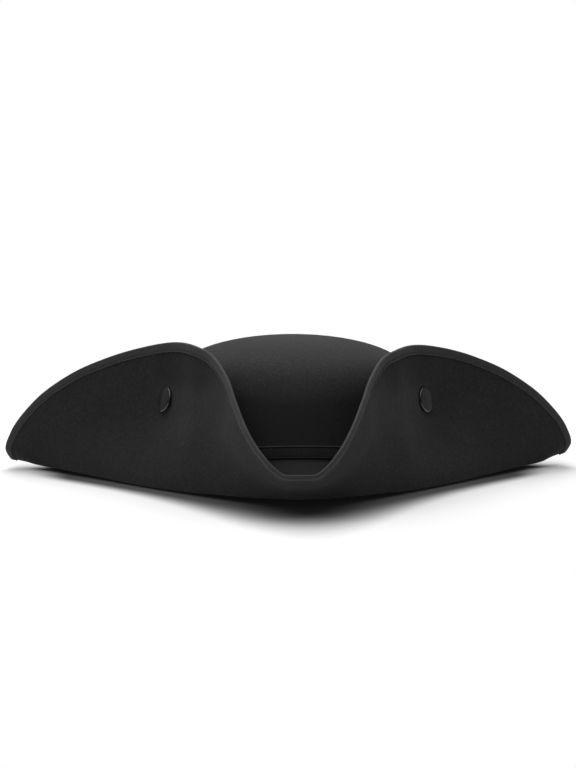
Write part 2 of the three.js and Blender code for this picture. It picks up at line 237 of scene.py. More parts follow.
@dataclass(frozen=True)
class FeltFinish:
    """Pressed wool felt: short hair matted every way, with painted light and shade that the mesh carries,
    lighter on the crown's wall and darker on its top, sides and brow.
    """

    deep: float = 0.012
    high: float = 0.034
    lint: float = 0.05
    hair: float = 0.00045
    strand: float = 0.00144
    nub: float = 0.0012
    clump: float = 0.0026
    cloud: float = 0.034
    coarse: tuple[float, float] = (0.07, 0.09)
    sheen: float = 0.1

    def material(self) -> bpy.types.Material:
        """Returns the felt's material."""
        r = Recipe("black_felt")
        place = r.place()
        hairs = r.mottle(place, self.hair, 3.0, 1.4)
        strands = r.mottle(r.stretched(place, (0.5, 0.3, 0.8), (1.0, 5.0, 5.0)), self.strand, 2.0, 0.8)
        crossed = r.mottle(r.stretched(place, (2.1, 1.2, 0.1), (5.0, 1.0, 5.0)), self.strand, 2.0, 0.8)
        clumps = r.mottle(place, self.clump, 3.0)
        nubs = r.mottle(place, self.nub, 1.0, 0.6)
        clouds = r.mottle(place, self.cloud, 2.0)
        # painted light and shade from the mesh: lighter on the crown's wall, darker on its top, sides and brow
        painted_light_and_shade = r.painted("painted_shading")
        nap = hairs * 0.4 + strands * 0.3 + crossed * 0.3
        raised = r.make("ShaderNodeSeparateXYZ", {}, {0: place}, 2).between(*self.coarse) + 1
        grain = (nap - 0.5) * 1.5 + (nubs - 0.5) * 0.9
        # tone: random grain and patches, plus the painted light and shade
        tone = grain * raised + (clumps - 0.5) * 0.6 + (clouds - 0.5) * 0.3 + painted_light_and_shade * 0.6 + 0.3
        colour = r.blend(tone.between(-0.2, 1.2), grey(self.deep, -0.02), grey(self.high, 0.01))
        colour = r.blend(strands.between(0.72, 0.8) * 0.35, colour, grey(self.lint))
        height = (nap * 0.00011 + nubs * 0.00012) * raised + clumps * 0.00018 + clouds * 0.0003
        return r.surface({
            "Base Color": colour,
            "Roughness": 0.97 - nap * 0.12,
            "Normal": r.relief(height),
            "Specular IOR Level": 0.12,
            "Sheen Weight": self.sheen,
            "Sheen Roughness": 0.42,
            "Sheen Tint": grey(0.7),
        })


@dataclass(frozen=True)
class RibbonFinish:
    """Ribbed black ribbon with a corded selvedge along both edges, painted lighter at the selvedges as a
    highlight and darker along the stitched groove as its shade.
    """

    name: str
    deep: float = 0.023
    high: float = 0.057
    rib: float = 0.0009
    thread: float = 0.0004
    width: float = 0.0074
    selvedge: float = 0.1
    seam: float = 0.0
    painted_groove_shade: float = 0.005

    def material(self) -> bpy.types.Material:
        """Returns the ribbon's material."""
        r = Recipe(self.name)
        place = r.place()
        along, across = r.along_and_across()
        drift = r.mottle(place, 0.004, 2.0)
        wander = (drift - 0.5) * 0.7
        ribs = (along * (2 * math.pi / self.rib) + wander).sine() * 0.5 + 0.5
        threads = (across * (2 * math.pi * self.width / self.thread)).sine() * 0.5 + 0.5
        inward = across.least(1 - across)
        # painted highlight: the colour is lighter near both selvedges
        edge = 1 - inward.between(self.selvedge * 0.6, self.selvedge)
        # painted shade: a dark line along the stitched groove
        sewn = inward.between(self.seam * 0.75, self.seam) * (1 - inward.between(self.seam, self.seam * 1.3))
        patches = r.mottle(place, 0.012, 2.0)
        fuzz = r.mottle(place, 0.0005, 3.0, 1.0)
        tone = ribs * 0.35 + threads * 0.15 + patches * 0.25 + fuzz * 0.3 + edge * 0.5
        colour = r.blend(tone.between(0.1, 1.1), grey(self.deep), grey(self.high))
        # the painted groove shade darkens the colour along the stitch line
        colour = r.blend(sewn * 0.75, colour, grey(self.painted_groove_shade))
        height = ribs * (1 - edge * 0.6) * 0.00010 + threads * 0.00003 + fuzz * 0.00005 + drift * 0.00012
        return r.surface({
            "Base Color": colour,
            "Roughness": 0.7 + fuzz * 0.16 - edge * 0.08,
            "Normal": r.relief(height),
            "Specular IOR Level": 0.18,
            "Sheen Weight": 0.1,
            "Sheen Roughness": 0.35,
            "Sheen Tint": grey(0.8),
        })


@dataclass(frozen=True)
class ThreadFinish:
    """Twisted black sewing thread."""

    tone: float = 0.02

    def material(self) -> bpy.types.Material:
        """Returns the thread's material."""
        r = Recipe("black_thread")
        twist = r.mottle(r.stretched(r.place(), (0.6, 0.2, 0.4), (1.0, 3.0, 3.0)), 0.0004, 2.0)
        return r.surface({
            "Base Color": r.blend(twist, grey(self.tone * 0.5), grey(self.tone * 1.4)),
            "Roughness": 0.5 + twist * 0.2,
            "Normal": r.relief(twist * 0.00006),
            "Sheen Weight": 0.1,
        })


@dataclass(frozen=True)
class EnamelFinish:
    """Satin black enamel on a pressed cap, with fine rubbing."""

    tone: float = 0.007

    def material(self) -> bpy.types.Material:
        """Returns the enamel's material."""
        r = Recipe("black_enamel")
        place = r.place()
        peel = r.mottle(place, 0.0012, 2.0)
        haze = r.mottle(place, 0.006, 3.0)
        scuffs = r.mottle(r.stretched(place, (0.3, 0.9, 0.2), (1.0, 9.0, 9.0)), 0.004, 3.0).between(0.62, 0.74)
        return r.surface({
            "Base Color": r.blend(haze * 0.6 + scuffs * 0.4, grey(self.tone * 0.8), grey(self.tone * 1.9)),
            "Roughness": 0.24 + haze * 0.08 + scuffs * 0.12,
            "Normal": r.relief(peel * 0.00002 + scuffs * 0.000008),
            "Specular IOR Level": 0.3,
            "Coat Weight": 0.8 - scuffs * 0.3,
            "Coat Roughness": 0.07,
        })


@dataclass(frozen=True)
class FloorFinish:
    """Matt white paper."""

    tone: float = 0.9

    def material(self) -> bpy.types.Material:
        """Returns the paper's material."""
        r = Recipe("white_paper")
        grain = r.mottle(r.place(), 0.05, 2.0)
        return r.surface({
            "Base Color": r.blend(grain, grey(self.tone * 0.99), grey(self.tone)),
            "Roughness": 0.9,
            "Specular IOR Level": 0.1,
        })


@dataclass(frozen=True)
class PaintedShadowFinish:
    """A painted shadow: a dark sheet over the paper that the camera alone sees, deepest before the hat and
    clear elsewhere, with a faint painted glow that keeps it from black.
    """

    depth: float = 0.9
    glow: float = 0.004
    front: float = 0.126
    corner: float = 0.03
    slant: float = 1.15
    reach: float = 0.034
    middle_reach: float = 0.056
    middle_width: float = 0.075
    softness: float = 0.4
    middle_softness: float = 0.35
    back: tuple[float, float] = (0.085, 0.115)
    sides: tuple[float, float] = (0.155, 0.19)

    def material(self) -> bpy.types.Material:
        """Returns the painted shadow's material."""
        r = Recipe("painted_paper_shadow")
        x = r.make("ShaderNodeSeparateXYZ", {}, {0: r.place()})
        y = Reading(r, x.socket.node.outputs[1])
        slanted = x * self.slant
        before = (slanted * slanted + self.corner**2) ** 0.5 - self.front - y
        middle = x.bell(self.middle_width)
        reach = middle * self.middle_reach + self.reach
        softness = middle * self.middle_softness + self.softness
        light = ((before - reach) / (reach * softness)).between(-1.0, 1.0)
        under = (1 - y.between(*self.back)) * (1 - ((x * x) ** 0.5).between(*self.sides))
        # painted shadow: black with a faint glow, its alpha deepest before the hat
        return r.surface({
            "Base Color": grey(0.0), "Roughness": 1.0, "Specular IOR Level": 0.0,
            "Emission Color": grey(1.0), "Emission Strength": self.glow,
            "Alpha": (1 - light) * under * self.depth,
        })


def hermite(a: Vector, leave: Vector, b: Vector, arrive: Vector, q: float) -> Vector:
    """The point at share q of the smooth curve from a to b."""
    q2, q3 = q * q, q * q * q
    return a * (2 * q3 - 3 * q2 + 1) + leave * (q3 - 2 * q2 + q) + b * (3 * q2 - 2 * q3) + arrive * (q3 - q2)


SECTION_COLUMNS = ("turn", "fold_out", "fold_fore", "fold_lift", "belly", "edge_out", "edge_fore", "edge_lift")
SECTION_ROWS = (
    (0, 0.000, 0.689, 0.044, 0.040, 0.000, 1.000, 0.266),
    (3, 0.024, 0.687, 0.043, 0.040, 0.050, 0.997, 0.270),
    (6, 0.051, 0.679, 0.042, 0.045, 0.082, 0.979, 0.312),
    (11, 0.098, 0.653, 0.039, 0.045, 0.123, 0.932, 0.401),
    (18, 0.159, 0.605, 0.033, 0.040, 0.166, 0.842, 0.532),
    (26, 0.217, 0.545, 0.026, 0.030, 0.205, 0.711, 0.700),
    (33, 0.261, 0.492, 0.019, 0.020, 0.234, 0.587, 0.838),
    (39, 0.295, 0.450, 0.012, 0.012, 0.273, 0.463, 0.945),
    (47, 0.339, 0.395, 0.005, 0.002, 0.328, 0.337, 0.994),
    (56, 0.390, 0.332, 0.000, -0.022, 0.402, 0.168, 0.997),
    (65, 0.449, 0.261, 0.000, -0.042, 0.505, 0.010, 0.942),
    (75, 0.520, 0.171, 0.000, -0.020, 0.631, -0.095, 0.850),
    (85, 0.602, 0.063, 0.005, 0.010, 0.766, -0.166, 0.710),
    (94, 0.702, -0.058, 0.014, 0.025, 0.886, -0.221, 0.514),
    (102, 0.797, -0.172, 0.024, 0.020, 0.972, -0.252, 0.272),
    (106, 0.842, -0.220, 0.028, 0.010, 0.990, -0.270, 0.146),
    (109, 0.862, -0.252, 0.032, 0.000, 0.972, -0.296, 0.070),
    (112, 0.833, -0.286, 0.030, 0.010, 0.976, -0.321, 0.126),
    (116, 0.768, -0.338, 0.027, 0.020, 0.963, -0.352, 0.226),
    (122, 0.659, -0.416, 0.024, 0.025, 0.920, -0.389, 0.400),
    (130, 0.541, -0.489, 0.017, 0.015, 0.824, -0.434, 0.560),
    (140, 0.400, -0.547, 0.005, 0.000, 0.674, -0.476, 0.682),
    (152, 0.249, -0.582, 0.000, -0.010, 0.481, -0.516, 0.772),
    (166, 0.112, -0.595, 0.000, -0.015, 0.244, -0.545, 0.828),
    (180, 0.000, -0.597, 0.000, -0.020, 0.000, -0.555, 0.847),
)
MIRRORED = ("fold_out", "edge_out")
CORNER_TURN = 109.0
NORMAL_STEP = 1.2


def section_value(name: str, turn: float) -> float:
    """One column of the section table at any turn in degrees."""
    turn %= 360
    last = len(SECTION_ROWS) - 1
    span = SECTION_ROWS[last][0]
    behind = turn > span
    t = 2 * span - turn if behind else turn
    column = SECTION_COLUMNS.index(name)
    odd = name in MIRRORED

    def at(i: int) -> tuple[float, float]:
        """Turn and value of row i, going on past both ends of the table."""
        k = -i if i < 0 else 2 * last - i if i > last else i
        own_turn, own_value = SECTION_ROWS[k][0], SECTION_ROWS[k][column]
        where = -own_turn if i < 0 else 2 * span - own_turn if i > last else own_turn
        return where, -own_value if odd and k != i else own_value

    row = 0
    while row < last - 1 and SECTION_ROWS[row + 1][0] <= t:
        row += 1
    (t0, v0), (t1, v1), (t2, v2), (t3, v3) = (at(row + k) for k in (-1, 0, 1, 2))

    def slope(ta: float, va: float, tb: float, vb: float, tc: float, vc: float) -> float:
        """The slope at the middle one of three points."""
        share = (tb - ta) / (tc - ta)
        return (vb - va) / (tb - ta) * (1 - share) + (vc - vb) / (tc - tb) * share

    width = t2 - t1
    q = (t - t1) / width
    value = (
        (2 * q**3 - 3 * q**2 + 1) * v1
        + (q**3 - 2 * q**2 + q) * width * slope(t0, v0, t1, v1, t2, v2)
        + (3 * q**2 - 2 * q**3) * v2
        + (q**3 - q**2) * width * slope(t1, v1, t2, v2, t3, v3)
    )
    return -value if behind and odd else value


@dataclass(frozen=True)
class BrimSection:
    """The brim's under side at one turn, from the crown out to the rim."""

    start: Vector
    leave: Vector
    fold_in: Vector
    along: Vector
    fold_out: Vector
    belly: Vector
    edge: Vector

    def fall(self, q: float) -> Vector:
        """From the crown down to the flat of the fold."""
        length = (self.fold_in - self.start).length
        return hermite(self.start, self.leave * length, self.fold_in, self.along * length, q)

    def rise(self, q: float) -> Vector:
        """From the flat of the fold up to the flap's belly."""
        length = (self.belly - self.fold_out).length
        up = (self.edge - self.fold_out).normalized()
        return hermite(self.fold_out, self.along * length, self.belly, up * length, q)

    def flap(self, q: float) -> Vector:
        """From the belly up to the rim, and on past it."""
        climb = (self.edge - self.belly).length
        up = (self.edge - self.fold_out).normalized()
        finish = (self.edge - self.belly) * 1.5 - up * (0.5 * climb)
        return hermite(self.belly, up * climb, self.edge, finish, q)

    def below_rim(self, depth: float) -> Vector:
        """The point of the flap at a depth below the rim."""
        climb = (self.edge - self.belly).length
        if depth < 0:
            return self.edge + (self.edge - self.flap(1 - 0.001 / climb)).normalized() * -depth
        return self.flap(1 - depth / climb)


@dataclass(frozen=True)
class HatBlock:
    """The sizes that the felt is blocked to, and the sheet that they give."""

    felt: float = 2.5 * MM
    head_half_width: float = 82.5 * MM
    head_half_length: float = 99.5 * MM
    crown_height: float = 99.4 * MM
    dome_rise_side: float = 25.5 * MM
    dome_rise_end: float = 36 * MM
    crown_taper: float = 3.5 * MM
    break_front: float = 24.3 * MM
    break_side: float = 13 * MM
    break_back: float = 15 * MM
    half_span: float = 205 * MM
    reach_per_head: float = 1.91
    flap_height: float = 96 * MM
    rest_width: float = 5 * MM
    pressed: float = 0.9 * MM
    pressed_depth: float = 11 * MM
    steepness: float = 1.6
    belly_share: float = 0.55
    crown_place: float = field(default_factory=lambda: sum(corner.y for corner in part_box("hat_band")) / 2)

    def oval(self, turn: float, inset: float, z: float) -> Vector:
        """A point on the head oval, drawn in by inset."""
        a = math.radians(turn)
        x = (self.head_half_width - inset) * math.sin(a)
        return Vector((x, self.crown_place - (self.head_half_length - inset) * math.cos(a), z))

    def outward(self, turn: float) -> Vector:
        """Level direction away from the crown at a turn."""
        a = math.radians(turn)
        x, y = math.sin(a) / self.head_half_width, -math.cos(a) / self.head_half_length
        return Vector((x, y, 0)).normalized()

    def break_height(self, turn: float) -> float:
        """Height of the line where crown and brim meet."""
        c = math.cos(math.radians(turn))
        end = self.break_front if c > 0 else self.break_back
        return self.break_side + (end - self.break_side) * c * c

    def felt_at(self, depth: float) -> float:
        """Thickness of the felt at a depth below the rim, where the binding presses it."""
        return self.felt - self.pressed * (1 - eased(depth / self.pressed_depth))

    def dome_rise(self, turn: float) -> float:
        """How far the dome rises over its shoulder: rounder at the front and the back."""
        c = math.cos(math.radians(turn))
        return self.dome_rise_side + (self.dome_rise_end - self.dome_rise_side) * c * c

    def shoulder(self, turn: float) -> float:
        """Height of the under side where the wall turns into the dome."""
        return self.crown_height - self.felt - self.dome_rise(turn)

    def brim_point(self, part: str, turn: float) -> Vector:
        """The fold's or the edge's point at a turn."""
        reach = self.reach_per_head * self.head_half_length
        lift = section_value(f"{part}_lift", turn)
        even = Vector((
            section_value(f"{part}_out", turn) * self.half_span,
            self.crown_place - section_value(f"{part}_fore", turn) * reach,
            (max(0.0, lift) if part == "fold" else lift) * self.flap_height,
        ))
        return even if part == "fold" else even + uneven(turn)

    def crown_wall(self, turn: float, q: float) -> Vector:
        """The crown's under side, from the break at 0 up to the shoulder at 1."""
        low = self.break_height(turn)
        return self.oval(turn, self.crown_taper * q, low + (self.shoulder(turn) - low) * q)

    def dome(self, turn: float, q: float) -> Vector:
        """The dome's under side, from the shoulder at 0 to the middle at 1."""
        a = q * math.pi / 2
        middle = Vector((0, self.crown_place, 0))
        rim = middle + (self.oval(turn, self.crown_taper, 0) - middle) * math.cos(a)
        rim.z = self.shoulder(turn) + self.dome_rise(turn) * math.sin(a)
        return rim

    def brim(self, turn: float) -> BrimSection:
        """The brim's section at a turn."""
        return brim_section(self, round(turn, 5))

    def sheet_point(self, turn: float, depth: float, height: float) -> Vector:
        """A point near the rim.

        Args:
            turn: place round the hat in degrees.
            depth: distance below the rim.
            height: distance from the under side towards the upper side.

        Returns:
            The point.
        """
        across = self.brim(turn + NORMAL_STEP).below_rim(depth) - self.brim(turn - NORMAL_STEP).below_rim(depth)
        here = self.brim(turn)
        out = here.below_rim(depth - MM) - here.below_rim(depth + MM)
        return here.below_rim(depth) + out.cross(across).normalized() * height


@lru_cache(maxsize=None)
def brim_section(block: HatBlock, turn: float) -> BrimSection:
    """Works out the brim's section of a block at a turn."""
    start = block.oval(turn, 0, block.break_height(turn))
    fold, edge = block.brim_point("fold", turn), block.brim_point("edge", turn)
    along = Vector((fold.x - start.x, fold.y - start.y, 0)).normalized()
    fold_in = fold - along * (block.rest_width / 2)
    fold_out = fold + along * (block.rest_width / 2)
    tangent = block.brim_point("fold", turn + 0.5) - block.brim_point("fold", turn - 0.5)
    outward = Vector((tangent.y, -tangent.x, 0)).normalized()
    reach = math.hypot(fold_in.x - start.x, fold_in.y - start.y)
    leave = Vector((along.x, along.y, -block.steepness * (start.z - fold_in.z) / reach)).normalized()
    swell = section_value("belly", turn) * block.flap_height
    belly = fold_out.lerp(edge, block.belly_share) + outward * swell
    return BrimSection(start, leave, fold_in, along, fold_out, belly, edge)


def spread_turns(count: int) -> list[float]:
    """Turns for one lap, closer together at the corners.

    Args:
        count: how many divisions the lap has.

    Returns:
        count + 1 turns from 0 to 360.
    """
    def density(t: float) -> float:
        """How close the divisions lie at a turn."""
        near = min(t, 360 - t)
        corner = min(abs(t - CORNER_TURN), abs(360 - t - CORNER_TURN))
        return 1 + 2.2 * bell(near, 12) + 2.2 * bell(corner, 10)

    steps = 2880
    sums = [0.0]
    for k in range(steps):
        sums.append(sums[-1] + density(360 * (k + 0.5) / steps))
    turns, k = [], 0
    for i in range(count):
        goal = sums[-1] * i / count
        while sums[k + 1] < goal:
            k += 1
        turns.append(360 * (k + (goal - sums[k]) / (sums[k + 1] - sums[k])) / steps)
    return turns + [360.0]


def arc_lengths(points: Sequence[Vector]) -> list[float]:
    """Distance along a line of points, from the first."""
    sums = [0.0]
    for a, b in zip(points, points[1:]):
        sums.append(sums[-1] + (b - a).length)
    return sums


def closed_grid(
    around: int, across: int, place: Callable[[int, int], Vector],
    chart: Callable[[int, int], tuple[float, float]] | None = None,
) -> bmesh.types.BMesh:
    """Draws a grid over a surface and joins it where its edges meet.

    Args:
        around: faces one way.
        across: faces the other way.
        place: the point for a step around and a step across.
        chart: where that point lies on the piece's own chart.

    Returns:
        The closed mesh, faces outward.
    """
    bm = bmesh.new()
    bmesh.ops.create_grid(bm, x_segments=around, y_segments=across, size=0.5)
    steps = {v: (round((v.co.x + 0.5) * around), round((v.co.y + 0.5) * across)) for v in bm.verts}
    if chart:
        layer = bm.loops.layers.uv.new("chart")
        for face in bm.faces:
            for corner in face.loops:
                corner[layer].uv = chart(*steps[corner.vert])
    for v, (i, j) in steps.items():
        v.co = place(i, j)
    bmesh.ops.remove_doubles(bm, verts=bm.verts[:], dist=1e-7)
    bmesh.ops.recalc_face_normals(bm, faces=bm.faces[:])
    return bm


def finished(name: str, bm: bmesh.types.BMesh, material: bpy.types.Material) -> bpy.types.Object:
    """Makes a smooth-shaded piece of a mesh.

    Args:
        name: the piece's name.
        bm: its mesh, which is used up.
        material: its finish.

    Returns:
        The piece, at the origin.
    """
    for face in bm.faces:
        face.smooth = True
    mesh = bpy.data.meshes.new(name)
    bm.to_mesh(mesh)
    bm.free()
    mesh.materials.append(material)
    piece = bpy.data.objects.new(name, mesh)
    bpy.context.scene.collection.objects.link(piece)
    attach(piece, "root")
    LOG.info("%s: %d faces", name, len(mesh.polygons))
    return piece


# Each row: middle turn and width in degrees, then sideways and lift in millimetres.
STRAY_ROWS = (
    (0, 19, -3.0, 0.0),
    (20, 13, -1.4, 0.0),
    (-20, 13, -1.4, 0.0),
    (48, 16, 0.0, -2.2),
    (108, 12, 0.0, 2.2),
    (-52, 12, 0.0, 0.8),
    (-108, 12, 0.0, -0.5),
)


def uneven(turn: float) -> Vector:
    """How far a hand-turned rim strays from the even block at a turn."""
    t = (turn + 180) % 360 - 180
    stray = Vector((0.0, 0.0, 0.0))
    for middle, width, sideways, lift in STRAY_ROWS:
        stray += Vector((sideways, 0.0, lift)) * (bell(t - middle, width) * MM)
    return stray


@dataclass
class FeltBody:
    """The blocked felt: crown, brim and flaps in one sheet, with both faces."""

    block: HatBlock
    snaps: Sequence["Snap"]
    divisions: int = 300
    dome_rings: int = 16
    wall_rings: int = 14
    fall_rings: int = 18
    flat_rings: int = 3
    rise_rings: int = 24
    flap_rings: int = 22
    fall_crowding: float = 1.5
    crease_passes: int = 6
    dimple_depth: float = 0.5 * MM
    dimple_width: float = 9 * MM
    crown_half_width: float = 92 * MM
    crown_half_length: float = 109 * MM
    crown_fade: float = 0.06
    dome_from: float = 60 * MM
    dome_above: float = 80 * MM
    side_reach: float = 68 * MM
    brow_height: float = 93.5 * MM
    brow_width: float = 4.5 * MM
    finish: FeltFinish = FeltFinish()

    def under_side(self, turn: float) -> list[Vector]:
        """The under side at a turn, from the middle of the dome out to the rim."""
        brim = self.block.brim(turn)
        line = [self.block.dome(turn, 1 - k / self.dome_rings) for k in range(self.dome_rings)]
        line += [self.block.crown_wall(turn, 1 - k / self.wall_rings) for k in range(self.wall_rings)]
        crease = len(line)
        line += [brim.fall((k / self.fall_rings) ** self.fall_crowding) for k in range(self.fall_rings)]
        line += [brim.fold_in.lerp(brim.fold_out, k / self.flat_rings) for k in range(self.flat_rings)]
        line += [brim.rise(k / self.rise_rings) for k in range(self.rise_rings)]
        line += [brim.flap(k / self.flap_rings) for k in range(self.flap_rings + 1)]
        for _ in range(self.crease_passes):
            soft = [(line[k - 1] + line[k] * 2 + line[k + 1]) / 4 for k in range(crease - 2, crease + 4)]
            line[crease - 2:crease + 4] = soft
        return line

    def dimple(self, p: Vector) -> float:
        """How far the fasteners press the felt in at a point."""
        reach = self.dimple_width * 2
        depth = 0.0
        for snap in self.snaps:
            distance = (p - snap.centre).length / reach
            if distance < 1:
                depth += self.dimple_depth * (1 - distance * distance) ** 2
        return depth

    def build(self) -> bpy.types.Object:
        """Draws the sheet and makes the piece."""
        turns = spread_turns(self.divisions)
        rings = len(self.under_side(0.0))
        under, upper = [], []
        for turn in turns:
            line = self.under_side(turn)
            depths = arc_lengths(line[::-1])[::-1]
            before, after = self.under_side(turn - NORMAL_STEP), self.under_side(turn + NORMAL_STEP)
            lower_row, upper_row = [], []
            for k, point in enumerate(line):
                out = line[min(k + 1, rings - 1)] - line[max(k - 1, 0)]
                normal = Vector((0, 0, 1)) if k == 0 else out.cross(after[k] - before[k]).normalized()
                base = point + normal * self.dimple(point)
                lower_row.append(base)
                upper_row.append(base + normal * self.block.felt_at(depths[k]))
            under.append(lower_row)
            upper.append(upper_row)

        def place(i: int, j: int) -> Vector:
            """Down the under side to the rim, and back along the upper side."""
            return under[i][j] if j < rings else upper[i][2 * rings - 1 - j]

        bm = closed_grid(self.divisions, 2 * rings - 1, place)
        self.paint_shading(bm)
        piece = finished("felt", bm, self.finish.material())
        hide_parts("felt_body")
        return piece

    def nap(self, p: Vector) -> float:
        """Painted light and shade at a point, standing in for how the lamps and flaps light the crown: most
        light on the crown's wall, less on the dome's top, least on its sides and brow, none off the crown.
        """
        away = math.hypot(p.x / self.crown_half_width, (p.y - self.block.crown_place) / self.crown_half_length)
        crown = min(1.0, max(0.0, (1 + self.crown_fade - away) / self.crown_fade))
        top = eased((p.z - self.dome_from) / (self.dome_above - self.dome_from))
        aside = min(1.0, (p.x / self.side_reach) ** 2)
        # painted light and shade: lighter wall, darker dome top, crown sides and brow
        return crown * (1.35 - 1.15 * top - aside - 0.5 * bell(p.z - self.brow_height, self.brow_width))

    def paint_shading(self, bm: bmesh.types.BMesh) -> None:
        """Paints the felt's light and shade onto the mesh, for its colour to read."""
        # a painted light-and-shade value on every vertex, which the felt's colour reads
        painted_shading = bm.verts.layers.float.new("painted_shading")
        for v in bm.verts:
            v[painted_shading] = self.nap(v.co)


@dataclass
class EdgeBinding:
    """The ribbon folded over the brim's edge and sewn through."""

    block: HatBlock
    divisions: int = 720
    depth: float = 5.7 * MM
    thickness: float = 0.6 * MM
    cord: float = 0.16 * MM
    groove: float = 0.38 * MM
    stitch_inset: float = 1.6 * MM
    roll_reach: float = 1.1 * MM
    roll_steps: int = 10
    stitch_pitch: float = 3.0 * MM
    stitch_length: float = 2.1 * MM
    stitch_radius: float = 0.2 * MM
    slack_share: float = 0.12
    slack_rate: float = 60.0
    hidden: float = 0.04 * MM
    tip_share: float = 0.3
    tip_turn: float = 11.0
    finish: RibbonFinish = RibbonFinish("binding_ribbon", width=0.0155, selvedge=0.065, seam=0.1)
    thread: ThreadFinish = ThreadFinish()

    def half_profile(self) -> list[tuple[float, float]]:
        """One face of the ribbon from its selvedge to the rim: depth, and height off the felt."""
        t, d = self.thickness, self.depth
        sewn = d - self.stitch_inset
        return [
            (d, 0.05 * MM), (d + 0.07 * MM, t * 0.5), (d, t), (d - 0.25 * MM, t + self.cord),
            (d - 0.5 * MM, t + self.cord * 0.9), (sewn + 0.35 * MM, t - self.groove * 0.4),
            (sewn, t - self.groove), (sewn - 0.35 * MM, t - self.groove * 0.5), (sewn - 0.8 * MM, t),
            (d * 0.5, t * 1.08), (d * 0.33, t * 1.1), (d * 0.16, t * 1.06),
        ]

    def profile(self) -> list[tuple[float, float, float]]:
        """The closed section: depth, height from the under side, share across."""
        felt_at = self.block.felt_at
        felt = felt_at(0)
        half = self.half_profile()
        faces = [(depth, -height) for depth, height in half]
        for k in range(self.roll_steps + 1):
            a = math.pi * (k / self.roll_steps - 0.5)
            faces.append((-self.roll_reach * math.cos(a), felt / 2 + (felt / 2 + self.thickness) * math.sin(a)))
        faces += [(depth, felt_at(depth) + height) for depth, height in reversed(half)]
        lengths = arc_lengths([Vector((a, b, 0)) for a, b in faces])
        outer = [(a, b, at / lengths[-1]) for (a, b), at in zip(faces, lengths)]
        middle, off = self.depth * 0.5, self.hidden
        inner = [
            (middle, felt_at(middle) + off), (0.0, felt + off), (-0.1 * MM, felt * 0.5),
            (0.0, -off), (middle, -off),
        ]
        return outer + [(a, b, 0.5) for a, b in inner] + [(faces[0][0], faces[0][1], 0.0)]

    def narrowed(self, turn: float) -> float:
        """The share of its depth that the ribbon keeps where it turns a wing's tip."""
        away = abs(abs((turn + 180) % 360 - 180) - CORNER_TURN)
        return 1 - self.tip_share * bell(away, self.tip_turn)

    def build(self) -> list[bpy.types.Object]:
        """Makes the ribbon and its two rows of stitches."""
        turns = spread_turns(self.divisions)
        profile = self.profile()
        rim = [self.block.sheet_point(turn, 0, 0) for turn in turns]
        lengths = arc_lengths(rim)
        rows = []
        for turn, at in zip(turns, lengths):
            slack = 1 + self.slack_share * noise.noise(Vector((at * self.slack_rate, 0.3, 0.7)))
            keep = self.narrowed(turn)
            rows.append([
                self.block.sheet_point(turn, max(a, 0.0) * keep + min(a, 0.0), self.slackened(a, b, slack))
                for a, b, _ in profile
            ])
        bm = closed_grid(
            self.divisions, len(profile) - 1, lambda i, j: rows[i % self.divisions][j],
            lambda i, j: (lengths[i], profile[j][2]),
        )
        ribbon = finished("brim_binding", bm, self.finish.material())
        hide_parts("edge_binding")
        return [ribbon, self.stitches(turns, lengths)]

    def slackened(self, depth: float, height: float, slack: float) -> float:
        """The same height where the ribbon stands a little looser or tighter."""
        felt = self.block.felt_at(depth)
        if height < 0:
            return height * slack
        return felt + (height - felt) * slack if height > felt else height

    def stitches(self, turns: list[float], lengths: list[float]) -> bpy.types.Object:
        """Sews the ribbon: one short stitch after another on each face."""
        bm = bmesh.new()
        count = round(lengths[-1] / self.stitch_pitch)
        sewn = self.depth - self.stitch_inset
        proud = self.thickness - self.groove + self.stitch_radius * 0.2
        k = 0
        for n in range(count):
            goal = lengths[-1] * (n + 0.5) / count
            while lengths[k + 1] < goal:
                k += 1
            turn = turns[k] + (turns[k + 1] - turns[k]) * (goal - lengths[k]) / (lengths[k + 1] - lengths[k])
            depth = sewn * self.narrowed(turn)
            for height in (-proud, self.block.felt_at(sewn) + proud):
                here = self.block.sheet_point(turn, depth, height)
                step = self.block.sheet_point(turn + 0.1, depth, height) - here
                place = Matrix.Translation(here) @ step.to_track_quat("X", "Z").to_matrix().to_4x4()
                shape = Matrix.Diagonal((self.stitch_length / 2, self.stitch_radius, self.stitch_radius, 1))
                bmesh.ops.create_uvsphere(bm, u_segments=6, v_segments=4, radius=1.0, matrix=place @ shape)
        piece = finished("binding_stitches", bm, self.thread.material())
        return piece


